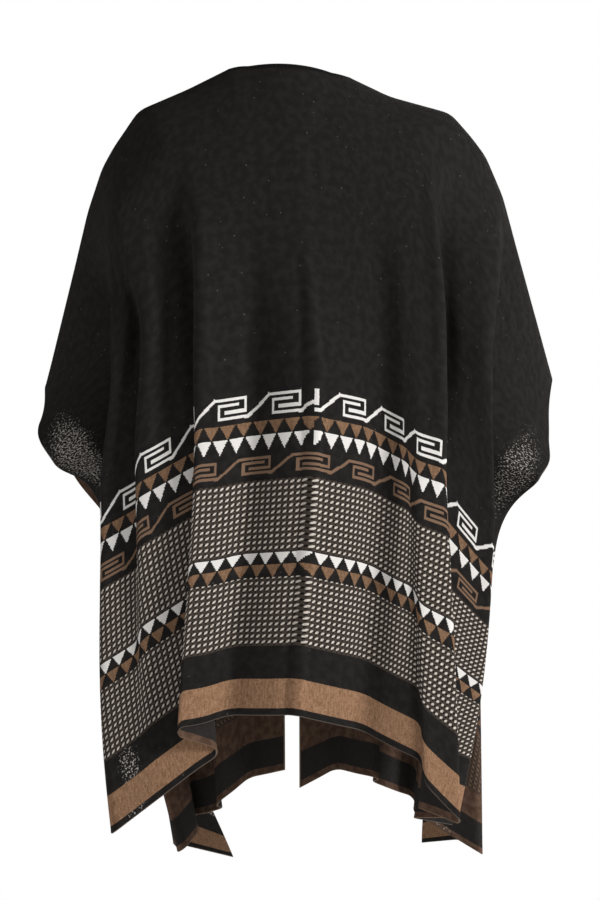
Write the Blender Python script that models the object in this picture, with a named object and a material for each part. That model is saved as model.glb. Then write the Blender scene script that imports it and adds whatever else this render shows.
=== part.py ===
"""Open-fronted knitted poncho, kept in the shape it has when worn. Metres, +Z up, front towards -Y.

The knit is one back and two fronts, joined along the shoulder line. Each piece is a sheet with a
fixed place in the flat cut: u runs outwards from the centre line and v runs down from the shoulder
line, positive on the back and negative on the fronts. Tables of fold lines say where that sheet lies.
The wearer's left is +X. The origin is the centre of the neck opening, level with the shoulder seams.
"""

import bpy
import numpy as np

for left_over in list(bpy.data.objects):
    bpy.data.objects.remove(left_over, do_unlink=True)

# Driving dimensions of the flat cut, in metres
HALF_WIDTH = 0.61
BACK_LENGTH = 0.86
FRONT_LENGTH = 0.96
NECK_HALF_WIDTH = 0.085
BACK_NECK_DROP = 0.035
FRONT_NECK_DROP = 0.28
FABRIC_THICKNESS = 0.0022
SEAM_GAP = 0.0007
FOLD_SOFTNESS = 0.015
FOLD_REACH = 0.045

# Grid of the pieces: each face of knit between two folds has a column near either end and one midway
COLUMN_BY_FOLD = 0.011
ROWS_BACK = 23
ROWS_FRONT = 21

# Where each fold line crosses each section, in mm: outwards from the centre, backwards, upwards.
# A section is a course of the knit, and its place is v, the distance from the shoulder line.
BACK_SECTIONS = (0.0, 0.13, 0.28, 0.456, 0.86)
BACK_LEFT_FOLDS = [
    # fold      shoulder          yoke              blade             pattern           hem
    ("centre", (0, 30, 39), (-5, 98, -60), (-16, 130, -207), (-28, 132, -392), (-5, 128, -800)),
    ("hollow", (66, 14, 31), (63, 95, -65), (51, 123, -211), (47, 111, -399), (72, 109, -803)),
    ("ridge", (133, 0, 0), (128, 88, -79), (117, 129, -222), (121, 132, -411), (145, 127, -822)),
    ("turn", (197, -3, -27), (156, 85, -89), (117, 102, -236), (110, 111, -429), (88, 104, -850)),
    ("ridge_2", (230, -5, -75), (222, 78, -160), (190, 108, -296), (197, 105, -479), (171, 94, -914)),
    ("turn_2", (245, -7, -102), (233, 72, -188), (188, 87, -317), (189, 88, -504), (180, 92, -921)),
    ("ridge_3", (264, -14, -157), (228, 68, -242), (230, 90, -360), (245, 80, -537), (226, 82, -957)),
    ("side", (283, -32, -229), (224, 16, -296), (162, 36, -400), (168, 0, -556), (232, -20, -963)),
    ("selvage", (328, -93, -386), (322, -20, -430), (302, 50, -480), (260, -84, -560), (240, -124, -955)),
]
BACK_RIGHT_FOLDS = [
    ("centre", (0, 30, 39), (5, 98, -60), (16, 130, -207), (28, 132, -392), (5, 128, -800)),
    ("hollow", (60, 14, 21), (70, 95, -69), (82, 121, -216), (96, 115, -405), (88, 110, -822)),
    ("ridge", (129, 2, -10), (134, 88, -84), (140, 121, -231), (150, 119, -433), (166, 122, -860)),
    ("turn", (208, -3, -31), (161, 86, -95), (158, 122, -242), (154, 127, -444), (168, 128, -872)),
    ("ridge_2", (235, -5, -61), (188, 88, -138), (190, 118, -270), (196, 119, -459), (217, 112, -918)),
    ("turn_2", (254, -7, -86), (202, 78, -166), (192, 98, -300), (180, 98, -497), (160, 72, -924)),
    ("ridge_3", (277, -14, -138), (270, 62, -212), (255, 94, -378), (263, 65, -597), (221, 25, -945)),
    ("side", (298, -32, -209), (268, 14, -282), (170, 40, -430), (174, 8, -606), (160, -34, -954)),
    ("selvage", (352, -92, -382), (334, -16, -454), (327, 44, -494), (277, -82, -604), (226, -118, -978)),
]
FRONT_SECTIONS = (-0.96, -0.50, -0.28, -0.13)
FRONT_LEFT_FOLDS = [
    # fold      hem               waist             chest             yoke
    ("edge", (8, -140, -905), (10, -132, -435), (6, -125, -215), (0, -80, -65)),
    ("hollow", (58, -185, -922), (75, -150, -438), (68, -138, -218), (62, -85, -68)),
    ("ridge", (100, -130, -950), (125, -120, -448), (130, -128, -232), (125, -95, -88)),
    ("turn", (94, -172, -962), (128, -146, -462), (150, -115, -250), (156, -92, -98)),
    ("ridge_2", (138, -240, -985), (192, -150, -512), (212, -112, -312), (218, -80, -166)),
    ("turn_2", (128, -200, -998), (196, -128, -532), (220, -92, -335), (230, -75, -194)),
    ("ridge_3", (150, -150, -1018), (250, -128, -588), (258, -100, -386), (250, -72, -248)),
    ("side", (165, -235, -1020), (208, -200, -640), (236, -158, -436), (270, -92, -318)),
    ("selvage", (115, -310, -1045), (205, -285, -735), (250, -215, -560), (310, -160, -440)),
]
FRONT_RIGHT_FOLDS = [
    ("edge", (12, -130, -928), (10, -132, -435), (6, -125, -215), (0, -80, -65)),
    ("hollow", (62, -175, -908), (75, -150, -438), (68, -138, -218), (64, -85, -72)),
    ("ridge", (118, -128, -915), (125, -120, -448), (130, -128, -232), (124, -94, -94)),
    ("turn", (112, -168, -925), (128, -146, -462), (150, -115, -250), (155, -92, -104)),
    ("ridge_2", (172, -220, -955), (192, -150, -512), (212, -112, -306), (222, -80, -153)),
    ("turn_2", (170, -180, -970), (200, -128, -532), (222, -92, -329), (238, -76, -178)),
    ("ridge_3", (262, -140, -1021), (255, -135, -588), (262, -100, -378), (264, -72, -230)),
    ("side", (235, -235, -1015), (222, -205, -640), (236, -155, -436), (284, -90, -298)),
    ("selvage", (190, -300, -1030), (240, -285, -735), (262, -215, -548), (328, -160, -418)),
]

# Linear colour of the knit, which is plain in the solid model
KNIT_COLOURS = {
    "back": (0.030, 0.030, 0.031),
    "front_left": (0.036, 0.034, 0.033),
    "front_right": (0.036, 0.034, 0.033),
}


def curve_through(knots, values, at):
    """Values at the given places on a curve through the knots that never swings past a knot."""
    knots = np.asarray(knots, float)
    gaps = np.diff(knots).reshape((-1,) + (1,) * (values.ndim - 1))
    rise = np.diff(values, axis=0) / gaps
    slope = np.empty_like(values)
    slope[0] = rise[0]
    slope[-1] = rise[-1]
    product = rise[:-1] * rise[1:]
    total = rise[:-1] + rise[1:]
    same_way = product > 0
    slope[1:-1] = np.where(same_way, 2 * product / np.where(same_way, total, 1), 0)
    span = np.clip(np.searchsorted(knots, at) - 1, 0, len(knots) - 2)
    gap = gaps[span]
    t = ((at - knots[span]).reshape(gap.shape)) / gap
    start = (2 * t**3 - 3 * t**2 + 1) * values[span] + (t**3 - 2 * t**2 + t) * gap * slope[span]
    end = (3 * t**2 - 2 * t**3) * values[span + 1] + (t**3 - t**2) * gap * slope[span + 1]
    return start + end


def fold_net(front_folds, back_folds, side):
    """One array of fold points in metres, sections first, from the front hem over to the back hem."""
    front = [row[1:] for row in front_folds]
    back = [row[1:] for row in back_folds]
    net = np.concatenate([np.array(front, float), np.array(back, float)], axis=1)
    return net.transpose(1, 0, 2) / 1000 * (side, 1, 1)


SECTIONS = FRONT_SECTIONS + BACK_SECTIONS
LEFT_NET = fold_net(FRONT_LEFT_FOLDS, BACK_LEFT_FOLDS, 1)
RIGHT_NET = fold_net(FRONT_RIGHT_FOLDS, BACK_RIGHT_FOLDS, -1)


def turn_walked(past):
    """Distance walked along the next face's direction, in softnesses, past the start of a soft turn."""
    soft = np.clip(past, -1, 1)
    walked = 0.1875 + 0.5 * soft + 0.375 * soft**2 - 0.0625 * soft**4
    return np.where(past > 1, past, np.where(past < -1, 0, walked))


def turn_opened(past):
    """How far a soft turn has opened into a round loop: negative before the fold, positive past it."""
    soft = np.clip(past, -1, 1)
    opened = soft - 0.75 * soft**3 + 0.3 * soft**5 - soft**7 / 28
    ramp = np.clip(past * FOLD_SOFTNESS / FOLD_REACH, -1, 1)
    return opened - 0.514286 * (1.5 * ramp - 0.5 * ramp**3)


def side_points(net, u, v):
    """Points of one side of the garment at u, counted outwards, and v.

    The course through v is walked outwards face by face. Each face turns into the next over a short
    soft stretch, and a sharp turn opens into a loop, so the knit keeps its width and never pinches.
    """
    runs = np.diff(net, axis=1)
    width = np.linalg.norm(runs, axis=-1)
    direction = runs / width[..., None]
    start = curve_through(SECTIONS, net[:, 0], v)
    width = curve_through(SECTIONS, width, v)
    direction = curve_through(SECTIONS, direction, v)
    fold_at = np.cumsum(width, axis=1)[:, :-1]
    past = (u[:, None] - fold_at) / FOLD_SOFTNESS
    bends = np.einsum("nk,nkc->nc", turn_walked(past), np.diff(direction, axis=1))
    onward = direction[:, :-1] + direction[:, 1:]
    onward_length = np.linalg.norm(onward, axis=-1)
    reach = np.linalg.norm(direction, axis=-1)
    pinch = (reach[:, :-1] + reach[:, 1:] - onward_length) / 2
    loop = onward / onward_length[..., None] * pinch[..., None]
    opening = np.einsum("nk,nkc->nc", turn_opened(past), loop)
    return start + direction[:, 0] * u[:, None] + (bends + opening) * FOLD_SOFTNESS


def left_points(u, v):
    """Points of the wearer's left side."""
    return side_points(LEFT_NET, u, v)


def right_points(u, v):
    """Points of the wearer's right side, with u still counted outwards."""
    return side_points(RIGHT_NET, u, v)


def back_points(u, v):
    """Points of the back, with u positive on the wearer's left and a soft crease at the centre."""
    left = left_points(np.abs(u), v)
    right = right_points(np.abs(u), v)
    leftness = np.clip(0.5 + u / 0.024, 0, 1)[:, None]
    return left * leftness + right * (1 - leftness)


def normals(points_of, u, v, down_step):
    """Unit normals from points a small step away along u and v, where v grows or shrinks downwards."""
    across_step = abs(down_step)
    across = points_of(u + across_step, v) - points_of(u - across_step, v)
    down = points_of(u, v + down_step) - points_of(u, v - down_step)
    normal = np.cross(down, across)
    return normal / np.linalg.norm(normal, axis=1, keepdims=True)


def fold_places(net, v):
    """Distances out from the centre to each fold between the centre and the selvage, at each v."""
    width = np.linalg.norm(np.diff(net, axis=1), axis=-1)
    return np.cumsum(curve_through(SECTIONS, width, v), axis=1)[:, :-1]


def even_columns(inner, outer):
    """Four columns that follow the inner edge and end on the outer one."""
    return inner[:, None] + (outer - inner)[:, None] * np.linspace(0.25, 1, 4)


def outer_columns(net, v):
    """Columns past the ridge fold out to the selvage, four to each face."""
    selvage = np.full((len(v), 1), HALF_WIDTH)
    ends = np.concatenate([fold_places(net, v)[:, 1:], selvage], axis=1)
    width = np.diff(ends, axis=1)
    near = np.minimum(COLUMN_BY_FOLD, 0.3 * width)
    start = ends[:, :-1]
    columns = [start + near, start + width / 2, start + width - near, start + width]
    return np.stack(columns, axis=-1).reshape(len(v), -1)


def back_grid():
    """u and v of the back's grid: full width, from the shoulder line and neck edge to the hem."""
    down = np.linspace(0, 1, ROWS_BACK)
    v = SEAM_GAP / 2 + (BACK_LENGTH - SEAM_GAP / 2) * down
    centre = np.zeros(ROWS_BACK)
    near_neck = np.clip(1 - v / BACK_SECTIONS[1], 0, 1)
    halves = []
    for net in (LEFT_NET, RIGHT_NET):
        folds = fold_places(net, v)
        hollow = folds[:, 0] + (NECK_HALF_WIDTH - folds[:, 0]) * near_neck
        parts = [even_columns(centre, hollow), even_columns(hollow, folds[:, 1]), outer_columns(net, v)]
        halves.append(np.concatenate(parts, axis=1))
    u = np.concatenate([-halves[1][:, ::-1], centre[:, None], halves[0]], axis=1)
    in_neck = np.clip(1 - (u[0] / NECK_HALF_WIDTH) ** 2, 0, 1)
    top = SEAM_GAP / 2 + BACK_NECK_DROP * in_neck**0.5
    return u, top + (BACK_LENGTH - top) * down[:, None]


def front_grid(net):
    """u and v of a front's grid: from the shoulder line down, cut to the slope of the neck edge.

    The top row has the back's own columns, so the two pieces run alongside each other at the seam.
    """
    down = np.linspace(0, 1, ROWS_FRONT) ** 1.15
    v = -SEAM_GAP / 2 - (FRONT_LENGTH - SEAM_GAP / 2) * down
    inner = NECK_HALF_WIDTH * np.clip(1 + v / FRONT_NECK_DROP, 0, 1) ** 0.8
    ridge = fold_places(net, v)[:, 1]
    u = np.concatenate([inner[:, None], even_columns(inner, ridge), outer_columns(net, v)], axis=1)
    return u, np.broadcast_to(v[:, None], u.shape)


def split_quads(points, index):
    """Triangles of a grid, each quad cut along its shorter diagonal so both faces are cut alike."""
    quads = np.stack([index[:-1, :-1], index[1:, :-1], index[1:, 1:], index[:-1, 1:]], axis=-1)
    quads = quads.reshape(-1, 4)
    corner = points[quads]
    first = np.linalg.norm(corner[:, 0] - corner[:, 2], axis=1)
    second = np.linalg.norm(corner[:, 1] - corner[:, 3], axis=1)
    turned = np.where((first > second)[:, None], np.roll(quads, -1, axis=1), quads)
    return np.concatenate([turned[:, [0, 1, 2]], turned[:, [0, 2, 3]]])


def thick_sheet(name, points_of, grid, outward):
    """Makes one piece of knit, with a face half a thickness either side of the sheet and a rim.

    outward is 1 where the grid's own normal faces out of the garment and -1 where it faces in.
    """
    u, v = grid
    rows, columns = u.shape
    down_step = 0.0015 * np.sign(v[1, 0] - v[0, 0])
    middle = points_of(u.ravel(), v.ravel())
    out = normals(points_of, u.ravel(), v.ravel(), down_step) * (outward * FABRIC_THICKNESS / 2)
    vertices = np.concatenate([middle + out, middle - out])
    index = np.arange(rows * columns).reshape(rows, columns)
    outer = split_quads(middle, index)
    inner = outer[:, ::-1] + rows * columns
    ring = np.concatenate([index[0, :-1], index[:-1, -1], index[-1, :0:-1], index[:0:-1, 0]])
    ahead = np.roll(ring, -1)
    rim = np.concatenate([
        np.stack([ring, ahead, ahead + rows * columns], axis=1),
        np.stack([ring, ahead + rows * columns, ring + rows * columns], axis=1),
    ])
    faces = np.concatenate([outer, inner, rim])
    if outward < 0:
        faces = faces[:, ::-1]
    mesh = bpy.data.meshes.new(name)
    mesh.from_pydata(vertices.tolist(), [], faces.tolist())
    mesh.shade_smooth()
    material = bpy.data.materials.new(name + "_knit")
    material.use_nodes = True
    shader = material.node_tree.nodes["Principled BSDF"]
    shader.inputs["Base Color"].default_value = (*KNIT_COLOURS[name], 1)
    shader.inputs["Roughness"].default_value = 0.95
    shader.inputs["Metallic"].default_value = 0
    mesh.materials.append(material)
    piece = bpy.data.objects.new(name, mesh)
    bpy.context.scene.collection.objects.link(piece)
    return piece


# Back, from the shoulder line and the neck edge down to the patterned hem
thick_sheet("back", back_points, back_grid(), -1)

# Fronts, open down the middle, each from the shoulder line down past the back's hem
thick_sheet("front_left", left_points, front_grid(LEFT_NET), 1)
thick_sheet("front_right", right_points, front_grid(RIGHT_NET), -1)
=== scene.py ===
"""Open-fronted knitted poncho, kept in the shape it has when worn: one back and two fronts."""

import math

import bpy
import numpy as np
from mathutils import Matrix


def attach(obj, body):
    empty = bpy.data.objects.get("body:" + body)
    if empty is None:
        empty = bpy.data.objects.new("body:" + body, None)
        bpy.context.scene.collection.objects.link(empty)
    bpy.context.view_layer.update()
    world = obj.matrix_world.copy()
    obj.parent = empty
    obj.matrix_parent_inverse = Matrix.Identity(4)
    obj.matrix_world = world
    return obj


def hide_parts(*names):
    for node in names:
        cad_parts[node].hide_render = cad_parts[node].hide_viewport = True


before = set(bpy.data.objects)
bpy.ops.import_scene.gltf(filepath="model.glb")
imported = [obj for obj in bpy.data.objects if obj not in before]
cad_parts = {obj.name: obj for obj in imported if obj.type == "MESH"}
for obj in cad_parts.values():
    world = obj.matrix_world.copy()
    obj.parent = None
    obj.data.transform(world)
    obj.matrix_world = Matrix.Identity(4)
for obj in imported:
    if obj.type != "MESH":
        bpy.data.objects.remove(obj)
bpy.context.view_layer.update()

# ---- Studio ---------------------------------------------------------------------------------
# A level camera stands three metres behind the garment. A pale floor fades into a white room.
# The key lamp is small and on the right of the view. Two larger and weaker ones fill from the left
# and from the far side.
camera = bpy.data.objects.new("camera", bpy.data.cameras.new("camera"))
camera.data.lens = 96
camera.data.sensor_width = 36
camera.location = (-0.0125, 3.13, -0.469)
camera.rotation_euler = (math.pi / 2, 0, math.pi)
bpy.context.scene.collection.objects.link(camera)
bpy.context.scene.camera = camera
bpy.context.scene.view_settings.view_transform = "Standard"


def linear(colour):
    """Linear red, green and blue of an sRGB hex colour such as #a0704c, with an alpha of one."""
    parts = [int(colour[place:place + 2], 16) / 255 for place in (1, 3, 5)]
    return tuple(p / 12.92 if p <= 0.04045 else ((p + 0.055) / 1.055) ** 2.4 for p in parts) + (1,)


def add(tree, kind, sockets=(), **settings):
    """Adds one node, sets its properties, and gives its sockets numbers, colours or other outputs.

    It returns the node's output, or all of them where the node has more than one.
    """
    node = tree.nodes.new("ShaderNode" + kind)
    for name, value in settings.items():
        setattr(node, name, value)
    for place, value in sockets.items() if isinstance(sockets, dict) else enumerate(sockets):
        if isinstance(value, bpy.types.NodeSocket):
            tree.links.new(value, node.inputs[place])
        else:
            node.inputs[place].default_value = value
    shown = [output for output in node.outputs if output.enabled]
    return shown[0] if len(shown) == 1 else tuple(shown)


FLOOR_HEIGHT = -1.43


def studio_floor():
    """A pale disc whose rim fades into the white of the room."""
    radius, rings, spokes = 6.0, 12, 72
    turn = np.linspace(0, 2 * math.pi, spokes, endpoint=False)
    reach = radius * np.linspace(0, 1, rings + 1)[1:]
    x = np.concatenate([[0], np.outer(reach, np.cos(turn)).ravel()])
    y = np.concatenate([[0], np.outer(reach, np.sin(turn)).ravel()])
    points = np.stack([x, y, np.full_like(x, FLOOR_HEIGHT)], axis=1)
    near = 1 + np.arange(spokes)
    faces = [(0, a, b) for a, b in zip(near.tolist(), np.roll(near, -1).tolist())]
    for ring in range(rings - 1):
        inner = near + ring * spokes
        outer = inner + spokes
        strip = np.stack([inner, outer, np.roll(outer, -1), np.roll(inner, -1)], axis=1)
        faces += strip.tolist()
    mesh = bpy.data.meshes.new("studio_floor")
    mesh.from_pydata(points.tolist(), [], faces)
    paint = bpy.data.materials.new("white_painted_floor")
    paint.use_nodes = True
    tree = paint.node_tree
    tree.nodes.clear()
    place = add(tree, "TexCoord")[3]
    away = add(tree, "VectorMath", (place,), operation="LENGTH")
    fade = add(tree, "MapRange", {0: away, 1: 0.9, 2: 2.6, 3: 0.3}, interpolation_type="SMOOTHSTEP")
    matt = add(tree, "BsdfDiffuse", {0: linear("#fbfaf8")})
    glow = add(tree, "Emission", {0: (1, 1, 1, 1), 1: 1.0})
    add(tree, "OutputMaterial", {0: add(tree, "MixShader", {0: fade, 1: matt, 2: glow})})
    mesh.materials.append(paint)
    floor = bpy.data.objects.new("studio_floor", mesh)
    bpy.context.scene.collection.objects.link(floor)
    return floor


studio_floor()

room = bpy.data.worlds.new("white_room")
room.use_nodes = True
room.node_tree.nodes.clear()
seen = add(room.node_tree, "LightPath")[0]
strength = add(room.node_tree, "MapRange", {0: seen, 3: 0.1, 4: 1.0})
backdrop = add(room.node_tree, "Background", {0: (1, 1, 1, 1), 1: strength})
add(room.node_tree, "OutputWorld", {0: backdrop})
bpy.context.scene.world = room

LAMPS_AIM_AT = np.array([0, 0, -0.5])
LAMPS = [
    # name        place                size  watts
    ("key_lamp", (-2.8, 1.8, 0.6), 0.9, 140),
    ("fill_lamp", (2.6, 1.4, 0.7), 1.8, 24),
    ("front_lamp", (-1.2, -3.0, 0.8), 2.0, 60),
]
for lamp_name, lamp_place, lamp_size, watts in LAMPS:
    lamp = bpy.data.objects.new(lamp_name, bpy.data.lights.new(lamp_name, "AREA"))
    lamp.data.size = lamp_size
    lamp.data.energy = watts
    lamp.location = lamp_place
    aim = LAMPS_AIM_AT - lamp_place
    tilt = math.acos(-aim[2] / np.linalg.norm(aim))
    lamp.rotation_euler = (tilt, 0, math.atan2(-aim[0], aim[1]))
    bpy.context.scene.collection.objects.link(lamp)

# ---- Back -----------------------------------------------------------------------------------
# One full-width panel of double-faced wool knit, 1.22 m wide and 0.86 m long, that hangs from the
# shoulder line. Its top is plain, and the stepped scrolls, triangles and flecked courses are knitted
# in above a banded hem. The folds are where it falls from the shoulder blades and the arms.
HALF_WIDTH = 0.61
BACK_LENGTH = 0.86
FRONT_LENGTH = 0.96
NECK_HALF_WIDTH = 0.085
BACK_NECK_DROP = 0.035
FABRIC_THICKNESS = 0.0022
SEAM_GAP = 0.0001
FOLD_SOFTNESS = 0.015
FOLD_REACH = 0.045
# Half width of the centre crease low down, what the neck adds to it, and how far down that carries
CENTRE_SOFTNESS = 0.007
NECK_SOFTNESS = 0.05
NECK_SOFT_REACH = 0.15
CREASE_FADE = 0.11
# The knitted edge: the rim is this much thicker, this far in, over this width
RIM_SWELL = 0.3
RIM_PLACE = 0.0022
RIM_WIDTH = 0.0016
EDGE_MARGIN = 0.004
NORMAL_STEP = 0.0015

# Where each fold line crosses each section, in mm: outwards from the centre, backwards, upwards.
# A section is a course of the knit, and its place is v, the distance from the shoulder line.
BACK_SECTIONS = (0.0, 0.13, 0.28, 0.456, 0.86)
BACK_LEFT_FOLDS = [
    # fold      shoulder          yoke              blade             pattern           hem
    ("centre", (0, 30, 37), (-5, 98, -60), (-16, 130, -207), (-28, 132, -392), (-5, 128, -800)),
    ("hollow", (66, 14, 31), (63, 95, -65), (51, 123, -211), (47, 111, -399), (72, 109, -803)),
    ("ridge", (133, 0, 0), (128, 88, -79), (117, 129, -222), (121, 132, -411), (145, 127, -822)),
    ("turn", (197, -3, -27), (156, 85, -89), (117, 102, -236), (110, 111, -429), (88, 104, -850)),
    ("ridge_2", (230, -5, -75), (222, 78, -160), (190, 108, -296), (197, 105, -479), (171, 94, -914)),
    ("turn_2", (245, -7, -102), (233, 72, -188), (188, 87, -317), (189, 88, -504), (180, 92, -921)),
    ("ridge_3", (264, -14, -157), (228, 68, -242), (230, 90, -360), (245, 80, -537), (226, 82, -957)),
    ("side", (283, -32, -229), (210, 16, -295), (163, 36, -400), (168, 0, -556), (232, -20, -963)),
    ("selvage", (328, -93, -386), (326, -22, -430), (302, 48, -484), (260, -84, -560), (240, -124, -955)),
]
BACK_RIGHT_FOLDS = [
    ("centre", (0, 30, 37), (5, 98, -60), (16, 130, -207), (28, 132, -392), (5, 128, -800)),
    ("hollow", (60, 14, 21), (70, 95, -69), (82, 121, -216), (96, 115, -405), (88, 110, -822)),
    ("ridge", (129, 2, -10), (134, 88, -84), (140, 121, -231), (150, 119, -433), (166, 122, -860)),
    ("turn", (208, -3, -31), (161, 86, -95), (158, 122, -242), (154, 127, -444), (168, 130, -886)),
    ("ridge_2", (235, -5, -61), (188, 88, -138), (190, 118, -270), (196, 119, -459), (217, 114, -940)),
    ("turn_2", (254, -7, -86), (202, 78, -166), (192, 98, -300), (180, 98, -497), (160, 72, -924)),
    ("ridge_3", (277, -14, -138), (270, 62, -212), (255, 94, -378), (263, 65, -597), (221, 25, -945)),
    ("side", (298, -32, -209), (250, 14, -280), (170, 40, -430), (174, 8, -606), (160, -34, -954)),
    ("selvage", (356, -92, -396), (338, -20, -450), (322, 40, -506), (277, -82, -604), (226, -118, -978)),
]
FRONT_SECTIONS = (-0.96, -0.50, -0.28, -0.13)
FRONT_LEFT_FOLDS = [
    # fold      hem               waist             chest             yoke
    ("edge", (8, -140, -905), (10, -132, -435), (6, -125, -215), (0, -80, -65)),
    ("hollow", (58, -185, -922), (75, -150, -438), (68, -138, -218), (62, -85, -68)),
    ("ridge", (100, -130, -950), (125, -120, -448), (130, -128, -232), (125, -95, -88)),
    ("turn", (94, -172, -962), (128, -146, -462), (150, -115, -250), (156, -92, -98)),
    ("ridge_2", (138, -240, -985), (192, -150, -512), (212, -112, -312), (218, -80, -166)),
    ("turn_2", (128, -200, -998), (196, -128, -532), (220, -92, -335), (230, -75, -194)),
    ("ridge_3", (150, -150, -1018), (250, -128, -588), (258, -100, -386), (250, -72, -248)),
    ("side", (165, -235, -1020), (208, -200, -640), (230, -157, -434), (265, -94, -318)),
    ("selvage", (115, -310, -1045), (205, -285, -735), (240, -222, -540), (297, -160, -436)),
]
FRONT_RIGHT_FOLDS = [
    ("edge", (12, -130, -928), (10, -132, -435), (6, -125, -215), (0, -80, -65)),
    ("hollow", (62, -175, -908), (75, -150, -438), (68, -138, -218), (64, -85, -72)),
    ("ridge", (118, -128, -915), (125, -120, -448), (130, -128, -232), (124, -94, -94)),
    ("turn", (112, -168, -925), (128, -146, -462), (150, -115, -250), (155, -92, -104)),
    ("ridge_2", (172, -220, -955), (192, -150, -512), (212, -112, -306), (222, -80, -153)),
    ("turn_2", (170, -180, -970), (200, -128, -532), (222, -92, -329), (238, -76, -178)),
    ("ridge_3", (262, -140, -1021), (255, -135, -588), (262, -100, -378), (264, -72, -230)),
    ("side", (235, -235, -1015), (222, -205, -640), (236, -155, -436), (280, -90, -298)),
    ("selvage", (190, -300, -1030), (240, -285, -735), (262, -215, -548), (326, -158, -416)),
]


def curve_through(knots, values, at):
    """Values at the given places on a curve through the knots that never swings past a knot."""
    knots = np.asarray(knots, float)
    gaps = np.diff(knots).reshape((-1,) + (1,) * (values.ndim - 1))
    rise = np.diff(values, axis=0) / gaps
    slope = np.empty_like(values)
    slope[0] = rise[0]
    slope[-1] = rise[-1]
    product = rise[:-1] * rise[1:]
    both = rise[:-1] + rise[1:]
    same_way = product > 0
    slope[1:-1] = np.where(same_way, 2 * product / np.where(same_way, both, 1), 0)
    span = np.clip(np.searchsorted(knots, at) - 1, 0, len(knots) - 2)
    gap = gaps[span]
    t = ((at - knots[span]).reshape(gap.shape)) / gap
    start = (2 * t**3 - 3 * t**2 + 1) * values[span] + (t**3 - 2 * t**2 + t) * gap * slope[span]
    end = (3 * t**2 - 2 * t**3) * values[span + 1] + (t**3 - t**2) * gap * slope[span + 1]
    return start + end


def fold_net(front_folds, back_folds, side):
    """Fold points in metres as one array, sections first, from the front hem to the back hem."""
    front = [row[1:] for row in front_folds]
    back = [row[1:] for row in back_folds]
    net = np.concatenate([np.array(front, float), np.array(back, float)], axis=1)
    return net.transpose(1, 0, 2) / 1000 * (side, 1, 1)


SECTIONS = FRONT_SECTIONS + BACK_SECTIONS
LEFT_NET = fold_net(FRONT_LEFT_FOLDS, BACK_LEFT_FOLDS, 1)
RIGHT_NET = fold_net(FRONT_RIGHT_FOLDS, BACK_RIGHT_FOLDS, -1)


def turn_walked(past):
    """Distance walked along the next face's direction past the start of a soft turn.

    It is in softnesses, as past is, and past is 0 on the fold line.
    """
    soft = np.clip(past, -1, 1)
    walked = 0.1875 + 0.5 * soft + 0.375 * soft**2 - 0.0625 * soft**4
    return np.where(past > 1, past, np.where(past < -1, 0, walked))


def turn_opened(past):
    """How far a soft turn has opened into a round loop: negative before the fold, then positive."""
    soft = np.clip(past, -1, 1)
    opened = soft - 0.75 * soft**3 + 0.3 * soft**5 - soft**7 / 28
    ramp = np.clip(past * FOLD_SOFTNESS / FOLD_REACH, -1, 1)
    return opened - 0.514286 * (1.5 * ramp - 0.5 * ramp**3)


def side_points(net, u, v):
    """Points of one side of the garment at u, counted outwards, and v.

    The course through v is walked outwards face by face. Each face turns into the next over a short
    soft stretch, and a sharp turn opens into a loop, so the knit keeps its width and never pinches.
    """
    runs = np.diff(net, axis=1)
    width = np.linalg.norm(runs, axis=-1)
    direction = runs / width[..., None]
    start = curve_through(SECTIONS, net[:, 0], v)
    width = curve_through(SECTIONS, width, v)
    direction = curve_through(SECTIONS, direction, v)
    fold_at = np.cumsum(width, axis=1)[:, :-1]
    past = (u[:, None] - fold_at) / FOLD_SOFTNESS
    bends = np.einsum("nk,nkc->nc", turn_walked(past), np.diff(direction, axis=1))
    onward = direction[:, :-1] + direction[:, 1:]
    onward_length = np.linalg.norm(onward, axis=-1)
    reach = np.linalg.norm(direction, axis=-1)
    pinch = (reach[:, :-1] + reach[:, 1:] - onward_length) / 2
    loop = onward / onward_length[..., None] * pinch[..., None]
    opening = np.einsum("nk,nkc->nc", turn_opened(past), loop)
    return start + direction[:, 0] * u[:, None] + (bends + opening) * FOLD_SOFTNESS


def left_points(u, v):
    """Points of the wearer's left side."""
    return side_points(LEFT_NET, u, v)


def right_points(u, v):
    """Points of the wearer's right side, with u still counted outwards."""
    return side_points(RIGHT_NET, u, v)


def back_points(u, v):
    """Points of the back, with u positive on the wearer's left.

    Each side carries on past the centre, and the two are blended over a crease that is soft at the
    neck and sharp lower down.
    """
    softness = CENTRE_SOFTNESS + NECK_SOFTNESS * np.exp(-((v / NECK_SOFT_REACH) ** 2))
    leftness = np.clip(0.5 + u / (2 * softness), 0, 1)[:, None]
    return left_points(u, v) * leftness + right_points(-u, v) * (1 - leftness)


def normals(points_of, u, v, down_step):
    """Unit normals from points a small step away along u and v.

    down_step is positive where v grows downwards and negative where it shrinks.
    """
    across_step = abs(down_step)
    across = points_of(u + across_step, v) - points_of(u - across_step, v)
    down = points_of(u, v + down_step) - points_of(u, v - down_step)
    normal = np.cross(down, across)
    return normal / np.linalg.norm(normal, axis=1, keepdims=True)


def edge_steps(start, end, spacing):
    """Places from start to end, evenly spaced but closer at both ends, where the rim rounds over."""
    close = np.array([0, 0.00025, 0.0008, 0.0017])
    count = max(2, round(abs(end - start) / spacing))
    way = 1 if end > start else -1
    inner = np.linspace(start + way * EDGE_MARGIN, end - way * EDGE_MARGIN, count)
    return np.concatenate([start + way * close, inner, end - way * close[::-1]])


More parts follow.
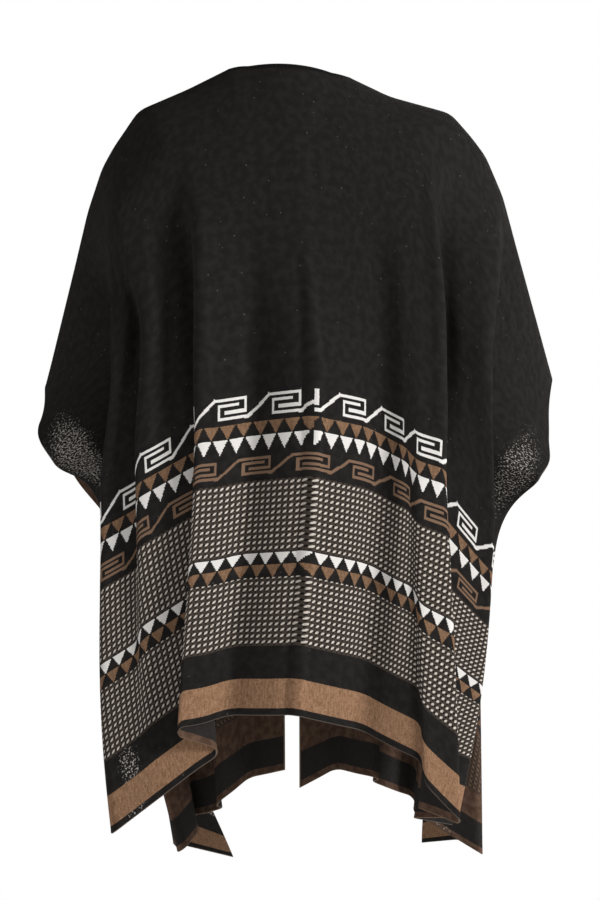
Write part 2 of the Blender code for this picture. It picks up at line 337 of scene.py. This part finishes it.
def crease_relief(u, v, creases):
    """Height of the small soft creases at u and v, in metres.

    Each crease is a straight line in the flat cut with a bell-shaped section, and it fades out
    smoothly over CREASE_FADE at both ends. Its row gives both ends, the half width and the height,
    in mm, and a hollow has a negative height.
    """
    height = np.zeros_like(u)
    for start_u, start_v, end_u, end_v, half_width, rise in np.asarray(creases, float) / 1000:
        along = np.array([end_u - start_u, end_v - start_v])
        length = np.hypot(*along)
        along /= length
        s = ((u - start_u) * along[0] + (v - start_v) * along[1]) / length
        off = (v - start_v) * along[0] - (u - start_u) * along[1]
        ends = np.clip(np.minimum(s, 1 - s) * length / CREASE_FADE, 0, 1)
        height += rise * np.exp(-((off / half_width) ** 2)) * ends**2 * (3 - 2 * ends)
    return height


def knitted_sheet(name, points_of, u, v, creases, facing, edge_distance):
    """A closed sheet of knit on the grid u, v: both faces, joined along a rounded edge.

    The middle of the sheet is points_of(u, v) moved out by the creases. Each face lies half a
    thickness from it. The thickness swells slightly at the rim and shrinks to nothing over the last
    millimetre. facing is 1 where rows and columns already turn the right side outwards and -1 where
    they don't. It returns the mesh, the grid's vertex numbers and the mask of points off the edge.
    """
    rows, columns = u.shape
    down_step = NORMAL_STEP * np.sign(v[-1, 0] - v[0, 0])
    middle = points_of(u.ravel(), v.ravel())
    lean = normals(points_of, u.ravel(), v.ravel(), down_step) * facing
    middle += lean * crease_relief(u.ravel(), v.ravel(), creases)[:, None]
    grid = middle.reshape(rows, columns, 3)
    across = np.gradient(grid, axis=1)
    down = np.gradient(grid, axis=0)
    normal = np.cross(down, across)
    normal *= facing / np.linalg.norm(normal, axis=2, keepdims=True)
    rounding = np.clip(edge_distance / (FABRIC_THICKNESS / 2), 0, 1)
    rim = 1 + RIM_SWELL * np.exp(-(((edge_distance - RIM_PLACE) / RIM_WIDTH) ** 2))
    half = FABRIC_THICKNESS / 2 * rim * np.sqrt(1 - (1 - rounding) ** 2)
    outer = grid + normal * half[..., None]
    inner = grid - normal * half[..., None]

    # The two faces share their edge points, so only the inner face's other points are new
    index = np.arange(rows * columns).reshape(rows, columns)
    inside = np.zeros((rows, columns), bool)
    inside[1:-1, 1:-1] = True
    back_index = index.copy()
    back_index[inside] = rows * columns + np.arange(inside.sum())
    points = np.concatenate([outer.reshape(-1, 3), inner[inside]])
    outer_faces, inner_faces = [
        np.stack([at[:-1, :-1], at[1:, :-1], at[1:, 1:], at[:-1, 1:]], axis=-1).reshape(-1, 4)
        for at in (index, back_index)
    ]
    inner_faces = inner_faces[:, ::-1]
    faces = np.concatenate([outer_faces, inner_faces])
    if facing < 0:
        faces = faces[:, ::-1]
    mesh = bpy.data.meshes.new(name)
    mesh.from_pydata(points.tolist(), [], faces.tolist())
    side = np.repeat(np.array([0, 1], np.int32), [len(outer_faces), len(inner_faces)])
    mesh.polygons.foreach_set("material_index", side)
    mesh.shade_smooth()
    return mesh, (index, inside)


def lay_cut_map(mesh, across, above_hem, layout, edge_distance):
    """UV map named cut, and the distance to the nearest edge, both in metres of the flat cut.

    The map runs across to the right of the face, and up from the hem.
    """
    index, inside = layout
    place = np.stack([across, above_hem], axis=-1)
    flat = np.concatenate([place.reshape(-1, 2), place[inside]])
    corner = np.empty(len(mesh.loops), np.int32)
    mesh.loops.foreach_get("vertex_index", corner)
    layer = mesh.uv_layers.new(name="cut")
    layer.data.foreach_set("uv", flat[corner].astype(np.float32).ravel())
    nearness = mesh.attributes.new("edge_distance", "FLOAT", "POINT")
    distance = np.concatenate([edge_distance.ravel(), edge_distance[inside]])
    nearness.data.foreach_set("value", distance.astype(np.float32))


# Heights above the hem, in mm, of the bands of the pattern. The last two numbers are the phases of
# its repeat, in mm, on the left and on the right of the centre crease, where the repeat breaks.
CREASE_ACROSS = 2.0
SCROLL_BANDS = [("cream", 377.0, 404.0, 55.8, 39.3), ("stroke", 304.3, 327.1, 21.0, 21.5)]
TRIANGLE_BANDS = [
    ("tan", 353.9, 370.3, 12.0, 16.0),
    ("cream", 335.1, 353.5, 21.5, 9.5),
    ("cream", 190.4, 205.0, 16.5, 15.5),
    ("tan", 174.2, 190.0, 5.5, 4.5),
]
FLECKED_BANDS = [(205.6, 296.7), (87.6, 173.6)]
TAN_BAND = (9.0, 46.0)

# One scroll in mm: a repeat is 73.5 long and 22.5 high between the middles of its strokes
SCROLL_PITCH = 73.5
SCROLL_HEIGHT = 22.5
SCROLL_FOOT = 46.3
SCROLL_STROKES = [
    # left, right, top, bottom
    (0.0, 42.2, 0.0, 0.0),
    (42.2, 42.2, 0.0, 15.1),
    (15.7, 42.2, 15.1, 15.1),
    (6.3, 32.0, 7.1, 7.1),
    (6.3, 6.3, 7.1, 22.5),
    (6.3, SCROLL_FOOT, 22.5, 22.5),
]
SCROLL_STROKE = 1.95  # half the width of a stroke
TRIANGLE_PITCH = 22.0
TRIANGLE_POINT = 0.04  # width at the point and at the foot, as shares of the pitch
TRIANGLE_FOOT = 0.93
WALE = 1.5  # one stitch across
COURSE = 1.15  # one stitch up
FLECK_PITCH = 8.0
FLECK_ROWS = 7.4

# The darker strip along the back neck: half its span, its lowest height above the hem, both in mm,
# and its depth in metres. Then how far in the bare edge of the knit shows, in metres.
NECK_DARK_SPAN = 88
NECK_DARK_ABOVE = 676
NECK_DARK_DEPTH = 0.0095
BARE_EDGE = 0.0011

# Painted light: pale specks where the bright room shows through the knit that is stretched thin
PAINTED_BACKLIGHT_PLACES = [
    # across, above hem, half length, half width, turn in degrees, how much shows
    (-580.0, 566.0, 122.0, 31.0, 88.0, 0.155),
    (618.0, 562.0, 122.0, 30.0, 92.0, 0.118),
    (-358.0, 62.0, 38.0, 17.0, 100.0, 0.125),
    (-360.0, 8.0, 26.0, 9.0, 0.0, 0.1),
]


def between(tree, value, low, high):
    """1 where the value lies between low and high, else 0."""
    above = add(tree, "Math", (value, low), operation="GREATER_THAN")
    below = add(tree, "Math", (value, high), operation="LESS_THAN")
    return add(tree, "Math", (above, below), operation="MULTIPLY")


def total(tree, parts):
    """The sum of several outputs."""
    result = parts[0]
    for part in parts[1:]:
        result = add(tree, "Math", (result, part), operation="ADD")
    return result


def oval_size(tree, local, half_length, half_width, turn):
    """Distance from the middle of an oval turned by some degrees, where 1 is its rim."""
    turn = -math.radians(turn)
    local = add(tree, "VectorRotate", {0: local, 3: turn}, rotation_type="Z_AXIS")
    local = add(tree, "VectorMath", (local, (half_length, half_width, 1)), operation="DIVIDE")
    return add(tree, "VectorMath", (local,), operation="LENGTH")


# One fleck of each kind: its shift in repeats, then its half length and half width in mm
FLECK_SLANT = 34
FLECKS = [
    ("gap", (0.5, 0.0), 1.8, 1.3),
    ("gap_below", (0.1, 0.46), 1.7, 0.8),
    ("fleck", (0.0, 0.0), 2.8, 1.35),
]


def knit_material(name, colours):
    """Double-faced wool knit with the pattern charted on the flat cut, for one face of the cloth.

    colours names the yarn that shows in each part of the chart. Every edge of the pattern is moved
    to the stitches, which are 1.5 mm wide and 1.15 mm high. The stitches themselves are a relief of
    slanted legs in pairs, and the wool's nap is a sheen over a rough, fibrous surface.
    """
    material = bpy.data.materials.new(name)
    material.use_nodes = True
    tree = material.node_tree
    tree.nodes.clear()
    cut = add(tree, "UVMap", uv_map="cut")
    in_mm = add(tree, "VectorMath", {0: cut, 3: 1000.0}, operation="SCALE")
    wander = add(tree, "TexNoise", {"Vector": cut, "Scale": 260.0, "Detail": 1.0})[1]
    wander = add(tree, "VectorMath", (wander, (0.5, 0.5, 0.5)), operation="SUBTRACT")
    wander = add(tree, "VectorMath", {0: wander, 3: 0.7}, operation="SCALE")
    yarn_place = add(tree, "VectorMath", (in_mm, wander), operation="ADD")
    stitch = add(tree, "VectorMath", (yarn_place, (WALE, COURSE, 1.0)), operation="SNAP")
    stitch = add(tree, "VectorMath", (stitch, (WALE / 2, COURSE / 2, 0.0)), operation="ADD")
    across, height, _ = add(tree, "SeparateXYZ", (stitch,))

    # Scrolls: the place within the repeat, then the distance to the nearest stroke
    past_crease = add(tree, "Math", (across, CREASE_ACROSS), operation="GREATER_THAN")
    in_scroll = []
    from_top = []
    phases = []
    for _, low, high, phase_left, phase_right in SCROLL_BANDS:
        inside = between(tree, height, low - COURSE, high + COURSE)
        in_scroll.append(inside)
        scale = SCROLL_HEIGHT / (high - low - 2 * SCROLL_STROKE)
        drop = add(tree, "Math", (high - SCROLL_STROKE, height), operation="SUBTRACT")
        drop = add(tree, "Math", (drop, scale), operation="MULTIPLY")
        from_top.append(add(tree, "Math", (drop, inside), operation="MULTIPLY"))
        phase = add(tree, "MapRange", {0: past_crease, 3: phase_left, 4: phase_right})
        phases.append(add(tree, "Math", (inside, phase), operation="MULTIPLY"))
    along = add(tree, "Math", (across, total(tree, phases)), operation="ADD")
    along = add(tree, "Math", (along, SCROLL_PITCH), operation="FLOORED_MODULO")
    drop = total(tree, from_top)
    spot = add(tree, "CombineXYZ", (along, drop))
    nearest = None
    for left, right, top, bottom in SCROLL_STROKES:
        centre = ((left + right) / 2, (top + bottom) / 2, 0)
        half = ((right - left) / 2, (bottom - top) / 2, 9)
        away = add(tree, "VectorMath", (spot, centre), operation="SUBTRACT")
        away = add(tree, "VectorMath", (away,), operation="ABSOLUTE")
        away = add(tree, "VectorMath", (away, half), operation="SUBTRACT")
        away_x, away_y, _ = add(tree, "SeparateXYZ", (away,))
        away = add(tree, "Math", (away_x, away_y), operation="MAXIMUM")
        if nearest is not None:
            away = add(tree, "Math", (nearest, away), operation="MINIMUM")
        nearest = away
    run = (SCROLL_PITCH - SCROLL_FOOT) / SCROLL_HEIGHT
    climb = add(tree, "Math", (drop, run), operation="MULTIPLY")
    slant = add(tree, "Math", (along, climb), operation="ADD")
    slant = add(tree, "Math", (slant, SCROLL_PITCH), operation="SUBTRACT")
    slant = add(tree, "Math", (slant,), operation="ABSOLUTE")
    slant = add(tree, "Math", (slant, 1 / math.hypot(1, run)), operation="MULTIPLY")
    nearest = add(tree, "Math", (nearest, slant), operation="MINIMUM")
    scroll = add(tree, "Math", (nearest, SCROLL_STROKE), operation="LESS_THAN")

    # Triangles that point down: full width at the top of their band and a point at the bottom
    in_band = {"cream": [], "tan": []}
    fullness = []
    phases = []
    for yarn, low, high, phase_left, phase_right in TRIANGLE_BANDS:
        inside = between(tree, height, low, high)
        in_band[yarn].append(inside)
        full = {0: height, 1: low, 2: high, 3: TRIANGLE_POINT, 4: TRIANGLE_FOOT}
        full = add(tree, "MapRange", full)
        fullness.append(add(tree, "Math", (full, inside), operation="MULTIPLY"))
        phase = add(tree, "MapRange", {0: past_crease, 3: phase_left, 4: phase_right})
        phases.append(add(tree, "Math", (inside, phase), operation="MULTIPLY"))
    along = add(tree, "Math", (across, total(tree, phases)), operation="ADD")
    along = add(tree, "Math", (along, TRIANGLE_PITCH), operation="FLOORED_MODULO")
    along = add(tree, "Math", (along, TRIANGLE_PITCH / 2), operation="SUBTRACT")
    along = add(tree, "Math", (along,), operation="ABSOLUTE")
    reach = add(tree, "Math", (total(tree, fullness), TRIANGLE_PITCH / 2), operation="MULTIPLY")
    triangle = add(tree, "Math", (along, reach), operation="LESS_THAN")

    figures = {}
    for yarn, bands in in_band.items():
        figures[yarn] = add(tree, "Math", (triangle, total(tree, bands)), operation="MULTIPLY")
    for (yarn, *_), inside in zip(SCROLL_BANDS, in_scroll):
        figures["scroll_" + yarn] = add(tree, "Math", (scroll, inside), operation="MULTIPLY")

    # Flecked courses: a mid tone with slanted cream flecks, and dark gaps beside and below each
    repeat = (FLECK_PITCH, FLECK_ROWS, 1)
    fleck_at = add(tree, "VectorMath", (yarn_place, repeat), operation="DIVIDE")
    tones = {}
    for tone, shift, half_length, half_width in FLECKS:
        local = add(tree, "VectorMath", (fleck_at, (*shift, 0.0)), operation="ADD")
        local = add(tree, "VectorMath", (local,), operation="FRACTION")
        local = add(tree, "VectorMath", (local, (0.5, 0.5, 0.0)), operation="SUBTRACT")
        # The zero takes out the third part of the yarn's wander, which would shrink the flecks
        flat_repeat = (FLECK_PITCH, FLECK_ROWS, 0)
        local = add(tree, "VectorMath", (local, flat_repeat), operation="MULTIPLY")
        size = oval_size(tree, local, half_length, half_width, FLECK_SLANT)
        fade = {0: size, 1: 1.2, 2: 0.8}
        tones[tone] = add(tree, "MapRange", fade, interpolation_type="SMOOTHSTEP")

    def yarn_mix(amount, below, above):
        return add(tree, "Mix", {0: amount, 6: below, 7: above}, data_type="RGBA")

    heather = add(tree, "TexNoise", {"Vector": cut, "Scale": 420.0, "Detail": 3.0})[0]
    streak_place = add(tree, "VectorMath", (cut, (3.2, 1.0, 1.0)), operation="MULTIPLY")
    streak = add(tree, "TexNoise", {"Vector": streak_place, "Scale": 110.0, "Detail": 3.0})[0]
    cloud = add(tree, "TexNoise", {"Vector": cut, "Scale": 95.0, "Detail": 2.0})[0]
    heathered = add(tree, "Math", (heather, streak), operation="ADD")
    heathered = add(tree, "MapRange", {0: heathered, 1: 0.75, 2: 1.25})
    tan = yarn_mix(heathered, linear(colours["tan"]), linear(colours["tan_light"]))
    cloudy = add(tree, "MapRange", {0: cloud, 1: 0.4, 2: 0.62})
    ground = yarn_mix(cloudy, linear(colours["ground"]), linear(colours["ground_light"]))
    flecks = yarn_mix(tones["gap"], linear(colours["fleck_ground"]), linear(colours["fleck_gap"]))
    flecks = yarn_mix(tones["gap_below"], flecks, linear(colours["fleck_gap"]))
    patchy = add(tree, "MapRange", {0: heather, 1: 0.3, 2: 0.6, 3: 0.45, 4: 1.0})
    patchy = add(tree, "Math", (tones["fleck"], patchy), operation="MULTIPLY")
    flecks = yarn_mix(patchy, flecks, linear(colours["fleck"]))
    in_flecks = total(tree, [between(tree, height, low, high) for low, high in FLECKED_BANDS])

    # Stray pale fibres on the plain knit, and painted backlight specks in the thin places
    fibre = add(tree, "TexVoronoi", {"Vector": cut, "Scale": 70.0})[0]
    fibre = add(tree, "MapRange", {0: fibre, 1: 0.06, 2: 0.03, 4: 0.3})
    ground = yarn_mix(fibre, ground, linear(colours["pale_fibre_and_painted_backlight"]))
    backlight_patches = []
    # Painted light: specks of the bright room seen through the knit, fading out from each place
    for middle_x, middle_y, half_length, half_width, turn, share in PAINTED_BACKLIGHT_PLACES:
        local = add(tree, "VectorMath", (in_mm, (middle_x, middle_y, 0.0)), operation="SUBTRACT")
        fade = {0: oval_size(tree, local, half_length, half_width, turn), 1: 1.35, 2: 0.4, 4: share}
        backlight_patches.append(add(tree, "MapRange", fade, interpolation_type="SMOOTHSTEP"))
    painted_backlight = total(tree, backlight_patches)
    backlight_speckle = {"Vector": cut, "Scale": 330.0, "Detail": 2.0, "Roughness": 0.6}
    backlight_speckle = add(tree, "TexNoise", backlight_speckle)[0]
    backlight_speckle = add(tree, "Math", (backlight_speckle, painted_backlight), operation="ADD")
    backlight_speckle = add(tree, "MapRange", {0: backlight_speckle, 1: 0.66, 2: 0.74})
    masked = add(tree, "MapRange", {0: painted_backlight, 2: 0.1})
    backlight_speckle = add(tree, "Math", (backlight_speckle, masked), operation="MULTIPLY")
    ground = yarn_mix(backlight_speckle, ground, linear(colours["pale_fibre_and_painted_backlight"]))

    colour = yarn_mix(figures["tan"], ground, tan)
    colour = yarn_mix(figures["cream"], colour, linear(colours["cream"]))
    colour = yarn_mix(figures["scroll_cream"], colour, linear(colours["cream"]))
    colour = yarn_mix(figures["scroll_stroke"], colour, linear(colours["stroke"]))
    colour = yarn_mix(in_flecks, colour, flecks)
    band = yarn_mix(heathered, linear(colours["band"]), linear(colours["band_light"]))
    colour = yarn_mix(between(tree, height, *TAN_BAND), colour, band)
    # The knit is darker in a strip along the back neck
    to_edge = add(tree, "Attribute", attribute_name="edge_distance")[2]
    near_edge = add(tree, "Math", (to_edge, NECK_DARK_DEPTH), operation="LESS_THAN")
    at_neck = between(tree, across, -NECK_DARK_SPAN, NECK_DARK_SPAN)
    at_neck = add(tree, "Math", (at_neck, near_edge), operation="MULTIPLY")
    above_chest = add(tree, "Math", (height, NECK_DARK_ABOVE), operation="GREATER_THAN")
    at_neck = add(tree, "Math", (at_neck, above_chest), operation="MULTIPLY")
    colour = yarn_mix(at_neck, colour, linear(colours["neck_darkening"]))
    on_edge = add(tree, "Math", (to_edge, BARE_EDGE), operation="LESS_THAN")
    colour = yarn_mix(on_edge, colour, linear(colours["edge"]))

    # Stitches: each wale is a pair of legs that lean towards each other, one stitch per course
    stitch_at = add(tree, "VectorMath", (yarn_place, (WALE, COURSE, 1)), operation="DIVIDE")
    wale_x, course_y, _ = add(tree, "SeparateXYZ", (stitch_at,))
    leg = add(tree, "Math", (wale_x,), operation="FRACT")
    leg = add(tree, "Math", (leg, 0.5), operation="SUBTRACT")
    leg = add(tree, "Math", (leg,), operation="ABSOLUTE")
    lean = add(tree, "Math", (course_y, leg), operation="ADD")
    lean = add(tree, "Math", (lean, 2 * math.pi), operation="MULTIPLY")
    lean = add(tree, "Math", (lean,), operation="COSINE")
    leg = add(tree, "Math", (leg, 4 * math.pi), operation="MULTIPLY")
    leg = add(tree, "Math", (leg,), operation="COSINE")
    loops = add(tree, "Math", (leg, -0.5), operation="MULTIPLY")
    loops = add(tree, "Math", (lean, 0.35, loops), operation="MULTIPLY_ADD")
    fuzz = {"Vector": cut, "Scale": 700.0, "Detail": 4.0, "Roughness": 0.7}
    fuzz = add(tree, "TexNoise", fuzz)[0]
    relief = add(tree, "Math", (fuzz, 2.2, loops), operation="MULTIPLY_ADD")
    bump = add(tree, "Bump", {"Strength": 0.55, "Distance": 0.0004, "Height": relief})

    surface = {"Base Color": colour, "Roughness": 0.92, "Normal": bump, "Sheen Weight": 0.02}
    surface.update({"Sheen Roughness": 0.6, "Specular IOR Level": 0.02})
    add(tree, "OutputMaterial", {0: add(tree, "BsdfPrincipled", surface)})
    return material


# The pale fibre colour also paints the room's light showing through the thin places
RIGHT_SIDE = {
    "ground": "#1e1c1b", "ground_light": "#252321", "cream": "#dedad6", "tan": "#6c523e",
    "tan_light": "#8a6c54", "stroke": "#7a614f", "band": "#75573f", "band_light": "#9f7c62",
    "fleck": "#d6ccc2", "fleck_gap": "#171412", "fleck_ground": "#423a34", "edge": "#5d534c",
    "pale_fibre_and_painted_backlight": "#b3aca5", "neck_darkening": "#151414",
}
REVERSE = {
    "ground": "#4d3a2f", "ground_light": "#624d40", "cream": "#2a2827", "tan": "#2b2928",
    "tan_light": "#343130", "stroke": "#2b2928", "band": "#262423", "band_light": "#302d2b",
    "fleck": "#74604f", "fleck_gap": "#2a2624", "fleck_ground": "#4b3d34", "edge": "#75614f",
    "pale_fibre_and_painted_backlight": "#b3aca5", "neck_darkening": "#3d2e26",
}
knit_right_side = knit_material("double_faced_wool_knit_right_side", RIGHT_SIDE)
knit_reverse = knit_material("double_faced_wool_knit_reverse", REVERSE)

# Small folds of the back between its large ones: ridges stand out and hollows lie in. The first
# three together are the centre crease.
BACK_CREASES = [
    # from u, v to u, v, half width, height
    (-5, 250, -5, 990, 6.5, 3.2),
    (8, 260, 9, 990, 8, -2.8),
    (0, 300, 0, 1010, 60, 11.0),
    (66, 230, 96, 1000, 22, -7.0),
    (-99, 205, -88, 1000, 21, -7.5),
    (-124, 215, -127, 800, 14, 4.0),
    (-190, 90, -188, 520, 15, 5.5),
    (-224, 100, -244, 440, 22, -12.0),
    (-300, 80, -316, 370, 26, 6.0),
    (131, 190, 150, 500, 16, 5.0),
    (172, 195, 196, 460, 16, -5.0),
    (222, 150, 276, 520, 13, 4.0),
    (205, 195, 246, 500, 15, -4.0),
    (262, 130, 352, 355, 12, 4.0),
    (262, 195, 334, 372, 13, -5.5),
    (-290, 40, -600, 100, 6, -3.5),
    (-290, 54, -600, 114, 8, 2.6),
]


def knitted_piece(name, points_of, u, v, creases, facing, edge_distance, across, above_hem):
    """Makes one piece with both faces of the knit, and replaces the node that it is named for.

    creases, facing and edge_distance are those of knitted_sheet, across and above_hem those of
    lay_cut_map.
    """
    mesh, layout = knitted_sheet("knit_" + name, points_of, u, v, creases, facing, edge_distance)
    lay_cut_map(mesh, across, above_hem, layout, edge_distance)
    mesh.materials.append(knit_right_side)
    mesh.materials.append(knit_reverse)
    piece = bpy.data.objects.new("knit_" + name, mesh)
    bpy.context.scene.collection.objects.link(piece)
    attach(piece, "root")
    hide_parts(name)
    return piece


GRID_ACROSS = 0.003
GRID_DOWN = 0.0078
SEAM = SEAM_GAP / 2  # each piece stops this far from the shoulder line
u_line = edge_steps(-HALF_WIDTH, HALF_WIDTH, GRID_ACROSS)
in_neck = np.clip(1 - (u_line / NECK_HALF_WIDTH) ** 2, 0, 1)
neck_line = SEAM + BACK_NECK_DROP * in_neck**0.5
down_line = (edge_steps(0, BACK_LENGTH, GRID_DOWN) / BACK_LENGTH)[:, None]
back_v = neck_line + (BACK_LENGTH - neck_line) * down_line
back_u = np.broadcast_to(u_line, back_v.shape)
to_selvage = HALF_WIDTH - np.abs(back_u)
to_edge = np.minimum(to_selvage, np.minimum(BACK_LENGTH - back_v, back_v - neck_line))

# The knit takes up more in the hollows on the right than the sheet does, so the chart runs ahead
# there. Across, in mm: the place on the sheet, then the place on the chart.
SHEET_ACROSS = (-610, 17, 38, 57, 74, 90, 110, 155, 176, 610)
CHART_ACROSS = (-610, 17, 39, 61, 83, 105, 127, 193, 215, 649)
back_across = np.interp(-back_u * 1000, SHEET_ACROSS, CHART_ACROSS) / 1000
back = knitted_piece(
    "back", back_points, back_u, back_v, BACK_CREASES, -1, to_edge,
    back_across, BACK_LENGTH - back_v,
)

# ---- Fronts ---------------------------------------------------------------------------------
# Two matching half-width panels of the same knit, each 0.96 m long and cut to the slope of the
# neck. They hang open down the middle, and each meets the back along the shoulder.
FRONT_NECK_DROP = 0.28
FRONT_NECK_CURVE = 0.8  # 1 would cut the neck straight, and less bows it
FRONT_CREASES = [
    (60, -150, 45, -520, 16, 2.5),
    (92, -170, 88, -560, 20, -4.0),
    (150, -160, 142, -600, 15, 2.5),
    (172, -300, 165, -900, 18, -3.5),
    (235, -260, 250, -900, 16, 3.0),
]
front_steps = edge_steps(0, FRONT_LENGTH, GRID_DOWN) / FRONT_LENGTH
front_v_line = -SEAM - (FRONT_LENGTH - SEAM) * front_steps
neck_open = np.clip(1 + front_v_line / FRONT_NECK_DROP, 0, 1)
neck_edge = NECK_HALF_WIDTH * neck_open**FRONT_NECK_CURVE
out_line = edge_steps(0, HALF_WIDTH, GRID_ACROSS) / HALF_WIDTH
front_u = neck_edge[:, None] + (HALF_WIDTH - neck_edge[:, None]) * out_line
front_v = np.broadcast_to(front_v_line[:, None], front_u.shape)
to_side = np.minimum(HALF_WIDTH - front_u, front_u - neck_edge[:, None])
to_edge = np.minimum(to_side, np.minimum(FRONT_LENGTH + front_v, -front_v - SEAM))
FRONTS = [
    # node         surface       facing  right of the face
    ("front_left", left_points, 1, 1),
    ("front_right", right_points, -1, -1),
]
for node, points_of, facing, rightward in FRONTS:
    front = knitted_piece(
        node, points_of, front_u, front_v, FRONT_CREASES, facing, to_edge,
        rightward * front_u, FRONT_LENGTH + front_v,
    )
